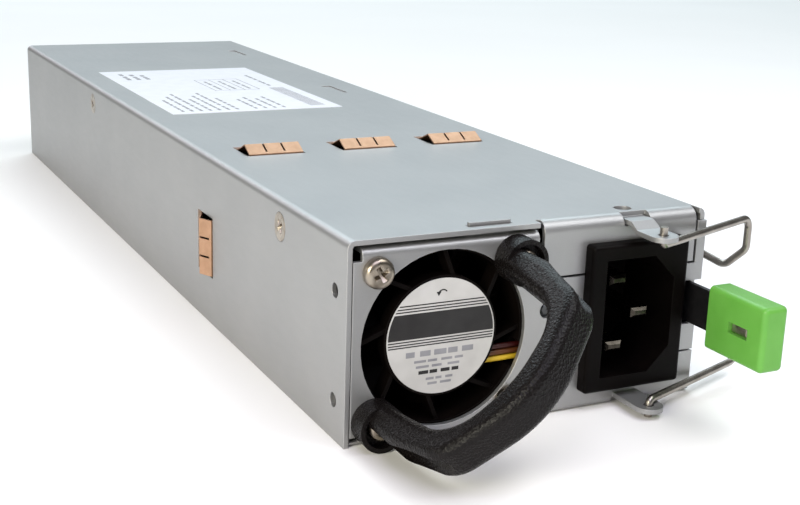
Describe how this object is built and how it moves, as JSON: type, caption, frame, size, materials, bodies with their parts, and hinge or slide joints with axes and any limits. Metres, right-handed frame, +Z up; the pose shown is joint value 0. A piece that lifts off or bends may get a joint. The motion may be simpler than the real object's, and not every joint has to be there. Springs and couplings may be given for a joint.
{
  "type": "switching power supply",
  "caption": "Slim hot-swap power supply for a server: folded steel case with a fan, a pull handle, a mains inlet with a wire cord bale, a release latch and a rear blade connector.",
  "frame": {"origin": "middle of the case's underside, where it rests in its bay", "axes": "+X to the right seen from the front panel, +Y to the rear along the case, +Z up"},
  "size_m": [0.0977, 0.3289, 0.042],
  "materials": {
    "case_steel": "satin zinc-coated sheet",
    "screw_steel": "bright nickel plate",
    "fan_plastic": "moulded, low sheen",
    "fan_metal": "ground",
    "magnet_rubber": "matt",
    "stator_iron": "varnished",
    "label_film": "printed film",
    "lead_red": "smooth insulation",
    "lead_brown": "smooth insulation",
    "lead_yellow": "smooth insulation",
    "lead_black": "smooth insulation",
    "lead_white": "smooth insulation",
    "lead_green": "smooth insulation",
    "handle_plastic": "grained",
    "inlet_plastic": "fine satin",
    "pin_nickel": "nickel plate",
    "bale_wire": "drawn stainless wire",
    "latch_black": "black oxide",
    "tab_green": "smooth satin",
    "finger_copper": "bright copper alloy",
    "led_lens": "smoked lens",
    "connector_black": "moulded",
    "connector_white": "moulded",
    "contact_gold": "gold plate",
    "board_green": "solder mask",
    "film_black": "insulating film",
    "standoff_brass": "turned",
    "ferrite": "sintered",
    "winding_copper": "enamelled",
    "cap_yellow": "moulded",
    "cap_blue": "dipped",
    "package_black": "moulded",
    "can_sleeve": "shrink sleeve",
    "heatsink_metal": "extruded",
    "busbar_copper": "bare"
  },
  "bodies": {
    "case": {"board_screws": "screw_steel", "bridge_rectifier": "package_black", "bulk_capacitors": "can_sleeve", "chassis": "case_steel", "choke_core": "ferrite", "choke_windings": "winding_copper", "control_board": "board_green", "cover": "case_steel", "cover_screws": "screw_steel", "earth_lead": "lead_green", "fan_bearings": "fan_metal", "fan_connector": "connector_white", "fan_frame": "fan_plastic", "fan_label": "label_film", "fan_lead_brown": "lead_brown", "fan_lead_red": "lead_red", "fan_lead_yellow": "lead_yellow", "fan_screws": "screw_steel", "fan_stator": "stator_iron", "handle": "handle_plastic", "handle_screws": "screw_steel", "inlet_earth_pin": "pin_nickel", "inlet_housing": "inlet_plastic", "inlet_line_pin": "pin_nickel", "inlet_neutral_pin": "pin_nickel", "inrush_relay": "package_black", "insulator_film": "film_black", "latch_rivets": "screw_steel", "latch_root": "latch_black", "line_fuse": "package_black", "line_lead": "lead_black", "main_board": "board_green", "neutral_lead": "lead_white", "output_busbars": "busbar_copper", "output_capacitors": "can_sleeve", "output_connector": "connector_black", "output_contacts": "contact_gold", "pfc_core": "ferrite", "pfc_winding": "winding_copper", "power_transistors": "package_black", "primary_heatsink": "heatsink_metal", "rear_panel": "case_steel", "side_fingers_left": "finger_copper", "side_fingers_right": "finger_copper", "spec_label": "label_film", "standoffs": "standoff_brass", "status_led": "led_lens", "top_fingers_left": "finger_copper", "top_fingers_middle": "finger_copper", "top_fingers_right": "finger_copper", "transformer_core": "ferrite", "transformer_winding": "winding_copper", "x_capacitors": "cap_yellow", "y_capacitors": "cap_blue"},
    "rotor": {"fan_rotor": "fan_plastic", "fan_magnet": "magnet_rubber", "fan_shaft": "fan_metal"},
    "bale": {"bale": "bale_wire"},
    "latch": {"latch_arm": "latch_black", "latch_tab": "tab_green"}
  },
  "joints": [
    {"name": "fan_spin", "type": "hinge", "parent": "case", "child": "rotor", "pos_m": [-0.0193, -0.13, 0.0192], "axis": [0, 1, 0], "continuous": true},
    {"name": "bale_swing", "type": "hinge", "parent": "case", "child": "bale", "pos_m": [0.0233, -0.1533, 0.01945], "axis": [0, 0, 1], "range_deg": [-111, 1.5]},
    {"name": "latch_press", "type": "hinge", "parent": "case", "child": "latch", "pos_m": [0.0381, -0.092, 0.02], "axis": [0, 0, -1], "range_deg": [0, 2.6], "stiffness_Nm_per_rad": 8}
  ]
}
